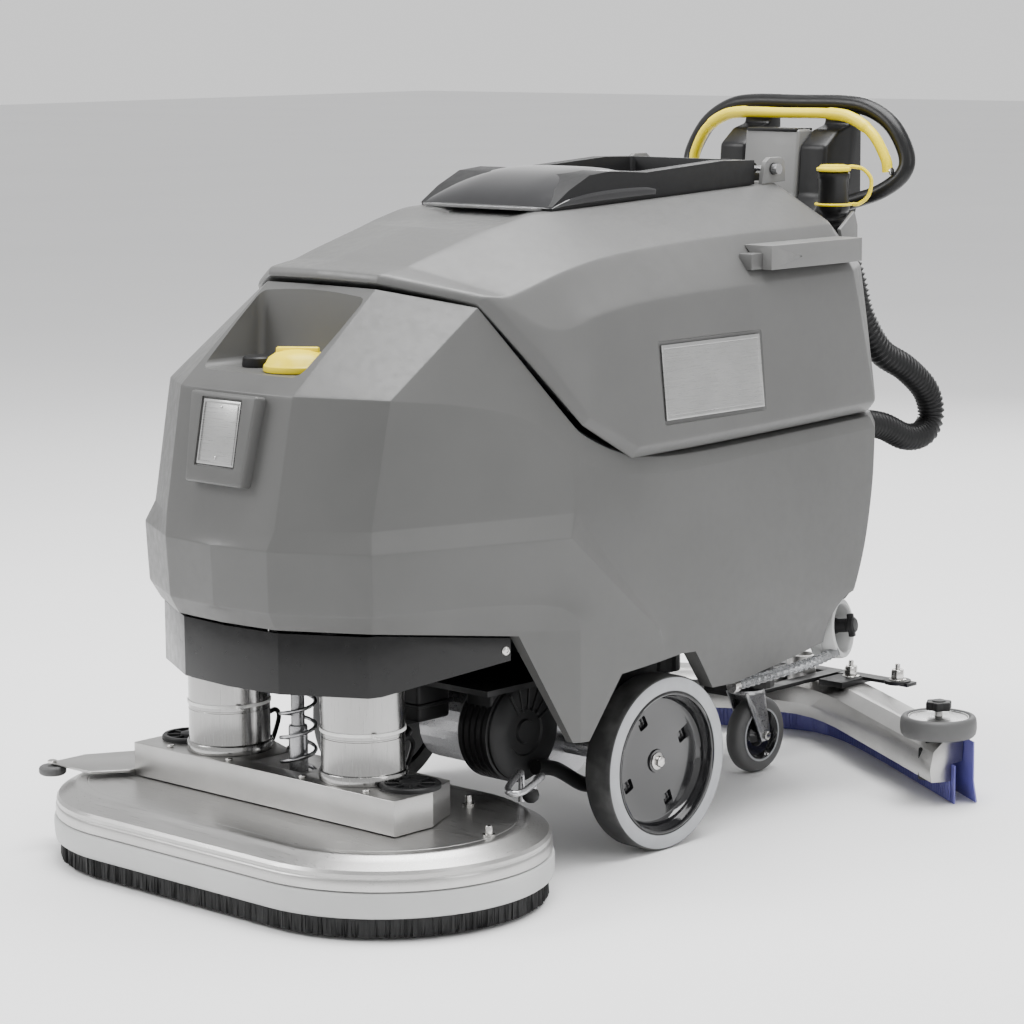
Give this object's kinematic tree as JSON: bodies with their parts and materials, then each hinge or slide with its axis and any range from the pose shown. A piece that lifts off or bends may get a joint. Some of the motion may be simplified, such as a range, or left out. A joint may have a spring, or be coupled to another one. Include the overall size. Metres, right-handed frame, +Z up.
{
  "type": "floor scrubber machine",
  "caption": "Walk-behind floor scrubber: low disc scrub deck, drive wheels and casters, V squeegee behind, two tanks, hinged lid, loop handle with bail.",
  "frame": {"origin": "on the floor, in the middle of the machine's footprint", "axes": "+Z up, +Y towards the operator at the rear, +X towards the machine's side that carries the cloth holder and drain collar"},
  "size_m": [0.966, 1.4508, 1.0547],
  "materials": {
    "body_grey": "fine moulded texture",
    "tank_grey": "fine moulded texture",
    "trim_grey": "satin",
    "band_grey": "satin",
    "black": "satin black",
    "rubber": "matt",
    "grey_rubber": "matt",
    "yellow": "satin",
    "violet": "smooth",
    "bristle": "fibrous",
    "cast": "cast and brushed",
    "steel": "bright",
    "painted": "black coating",
    "red": "gloss"
  },
  "bodies": {
    "chassis": {"lower_body": "body_grey", "recovery_tank": "tank_grey", "front_apron": "black", "nose_badge_plate": "steel", "side_plate_left": "steel", "side_plate_right": "steel", "cloth_holder": "body_grey", "lid_bracket_left": "band_grey", "lid_bracket_right": "band_grey", "lid_hinge_pin": "steel", "control_console": "trim_grey", "handle_frame": "black", "drain_neck": "black", "drain_hose": "black", "chassis_frame": "painted", "battery_pack": "black", "suction_motor": "painted", "solution_pump": "black", "drive_axle": "steel", "drive_gear_housing": "black", "drain_collar": "band_grey", "pressure_spring": "steel"},
    "lid": {"tank_lid": "black"},
    "filler_cap": {"fresh_water_cap": "yellow"},
    "programme_selector": {"programme_knob": "yellow"},
    "key": {"key_switch": "steel"},
    "stop": {"stop_button": "red"},
    "bail": {"drive_bail": "yellow"},
    "drain_closure": {"drain_cap": "yellow"},
    "scrub_deck": {"deck_housing": "cast", "bumper_band": "band_grey", "bristle_skirt": "bristle", "gear_case": "cast", "brush_motor_left": "steel", "brush_motor_right": "steel", "pressure_plunger": "steel", "roller_plate": "cast"},
    "roller": {"guide_roller": "grey_rubber"},
    "release_lever": {"brush_release_lever": "steel"},
    "carrier": {"squeegee_carrier": "painted"},
    "squeegee": {"squeegee_arm": "painted", "squeegee_bar": "cast", "front_blade": "violet", "rear_blade": "violet"},
    "drive_wheel_left": {"drive_tyre_left": "rubber", "drive_hub_left": "black"},
    "caster_swivel_left": {"caster_fork_left": "steel"},
    "caster_roll_left": {"caster_wheel_left": "rubber"},
    "brush_left": {"disc_brush_left": "bristle"},
    "arm_left": {"lift_arm_left": "black"},
    "bumper_left": {"bumper_wheel_left": "grey_rubber"},
    "bumper_knob_left": {"star_knob_left": "black"},
    "drive_wheel_right": {"drive_tyre_right": "rubber", "drive_hub_right": "black"},
    "caster_swivel_right": {"caster_fork_right": "steel"},
    "caster_roll_right": {"caster_wheel_right": "rubber"},
    "brush_right": {"disc_brush_right": "bristle"},
    "arm_right": {"lift_arm_right": "black"},
    "bumper_right": {"bumper_wheel_right": "grey_rubber"},
    "bumper_knob_right": {"star_knob_right": "black"}
  },
  "joints": [
    {"name": "lid_hinge", "type": "hinge", "parent": "chassis", "child": "lid", "pos_m": [0, 0.3786, 0.951], "axis": [-1, 0, 0], "range_deg": [0, 95]},
    {"name": "filler_cap_turn", "type": "hinge", "parent": "chassis", "child": "filler_cap", "pos_m": [0.034, -0.5154, 0.7124], "axis": [0, 0, 1], "range_deg": [0, 90]},
    {"name": "programme_knob_turn", "type": "hinge", "parent": "chassis", "child": "programme_selector", "pos_m": [-0.022, 0.6311, 0.95], "axis": [0, 1, 0], "range_deg": [-135, 135]},
    {"name": "key_turn", "type": "hinge", "parent": "chassis", "child": "key", "pos_m": [0.026, 0.6311, 0.962], "axis": [0, 1, 0], "range_deg": [0, 90]},
    {"name": "stop_button_press", "type": "slide", "parent": "chassis", "child": "stop", "axis": [0, -1, 0], "range_m": [0, 0.003], "stiffness_N_per_m": 400, "springref_m": -0.001},
    {"name": "bail_squeeze", "type": "hinge", "parent": "chassis", "child": "bail", "pos_m": [0, 0.5936, 0.941], "axis": [-1, 0, 0], "range_deg": [0, 8], "stiffness_Nm_per_rad": 1, "springref_deg": -5.73},
    {"name": "drain_cap_flip", "type": "hinge", "parent": "chassis", "child": "drain_closure", "pos_m": [0.18976, 0.51208, 0.892], "axis": [-0.53, 0.848, 0], "range_deg": [0, 100]},
    {"name": "deck_lift", "type": "slide", "parent": "chassis", "child": "scrub_deck", "axis": [0, 0, 1], "range_m": [0, 0.032], "deforming": ["pressure_spring"]},
    {"name": "guide_roller_spin", "type": "hinge", "parent": "scrub_deck", "child": "roller", "pos_m": [-0.387, -0.6244, 0.1024], "axis": [0, 0, 1], "continuous": true},
    {"name": "brush_release_swing", "type": "hinge", "parent": "scrub_deck", "child": "release_lever", "pos_m": [0.262, -0.3214, 0.113], "axis": [0, 0, 1], "range_deg": [-15, 15]},
    {"name": "squeegee_swing", "type": "hinge", "parent": "chassis", "child": "carrier", "pos_m": [0, 0.4006, 0.2195], "axis": [0, 0, 1], "range_deg": [-15, 15]},
    {"name": "squeegee_lift", "type": "hinge", "parent": "carrier", "child": "squeegee", "pos_m": [0, 0.4306, 0.165], "axis": [1, 0, 0], "range_deg": [0, 8]},
    {"name": "drive_wheel_spin_left", "type": "hinge", "parent": "chassis", "child": "drive_wheel_left", "pos_m": [0.28, -0.0594, 0.127], "axis": [1, 0, 0], "continuous": true},
    {"name": "caster_turn_left", "type": "hinge", "parent": "chassis", "child": "caster_swivel_left", "pos_m": [0.097, 0.3736, 0.135], "axis": [0, 0, 1], "continuous": true},
    {"name": "caster_wheel_spin_left", "type": "hinge", "parent": "caster_swivel_left", "child": "caster_roll_left", "pos_m": [0.097, 0.3956, 0.061], "axis": [1, 0, 0], "continuous": true},
    {"name": "brush_spin_left", "type": "hinge", "parent": "scrub_deck", "child": "brush_left", "pos_m": [0.186, -0.4994, 0.03], "axis": [0, 0, 1], "continuous": true},
    {"name": "lift_arm_turn_left", "type": "hinge", "parent": "chassis", "child": "arm_left", "pos_m": [0.206, -0.0794, 0.105], "axis": [-1, 0, 0], "range_deg": [0, 12.5]},
    {"name": "bumper_wheel_spin_left", "type": "hinge", "parent": "squeegee", "child": "bumper_left", "pos_m": [0.425, 0.4306, 0.1175], "axis": [0, 0, 1], "continuous": true},
    {"name": "star_knob_turn_left", "type": "hinge", "parent": "squeegee", "child": "bumper_knob_left", "pos_m": [0.425, 0.4306, 0.1419], "axis": [0, 0, 1], "continuous": true},
    {"name": "drive_wheel_spin_right", "type": "hinge", "parent": "chassis", "child": "drive_wheel_right", "pos_m": [-0.28, -0.0594, 0.127], "axis": [1, 0, 0], "continuous": true},
    {"name": "caster_turn_right", "type": "hinge", "parent": "chassis", "child": "caster_swivel_right", "pos_m": [-0.097, 0.3736, 0.135], "axis": [0, 0, 1], "continuous": true},
    {"name": "caster_wheel_spin_right", "type": "hinge", "parent": "caster_swivel_right", "child": "caster_roll_right", "pos_m": [-0.097, 0.3956, 0.061], "axis": [1, 0, 0], "continuous": true},
    {"name": "brush_spin_right", "type": "hinge", "parent": "scrub_deck", "child": "brush_right", "pos_m": [-0.186, -0.4994, 0.03], "axis": [0, 0, 1], "continuous": true},
    {"name": "lift_arm_turn_right", "type": "hinge", "parent": "chassis", "child": "arm_right", "pos_m": [-0.206, -0.0794, 0.105], "axis": [-1, 0, 0], "range_deg": [0, 12.5]},
    {"name": "bumper_wheel_spin_right", "type": "hinge", "parent": "squeegee", "child": "bumper_right", "pos_m": [-0.425, 0.4306, 0.1175], "axis": [0, 0, 1], "continuous": true},
    {"name": "star_knob_turn_right", "type": "hinge", "parent": "squeegee", "child": "bumper_knob_right", "pos_m": [-0.425, 0.4306, 0.1419], "axis": [0, 0, 1], "continuous": true}
  ],
  "couplings": [
    {"joint": "brush_spin_right", "follows": "brush_spin_left", "ratio": -1},
    {"joint": "lift_arm_turn_left", "follows": "deck_lift", "rad_per_m": 6.6},
    {"joint": "lift_arm_turn_right", "follows": "deck_lift", "rad_per_m": 6.6}
  ]
}
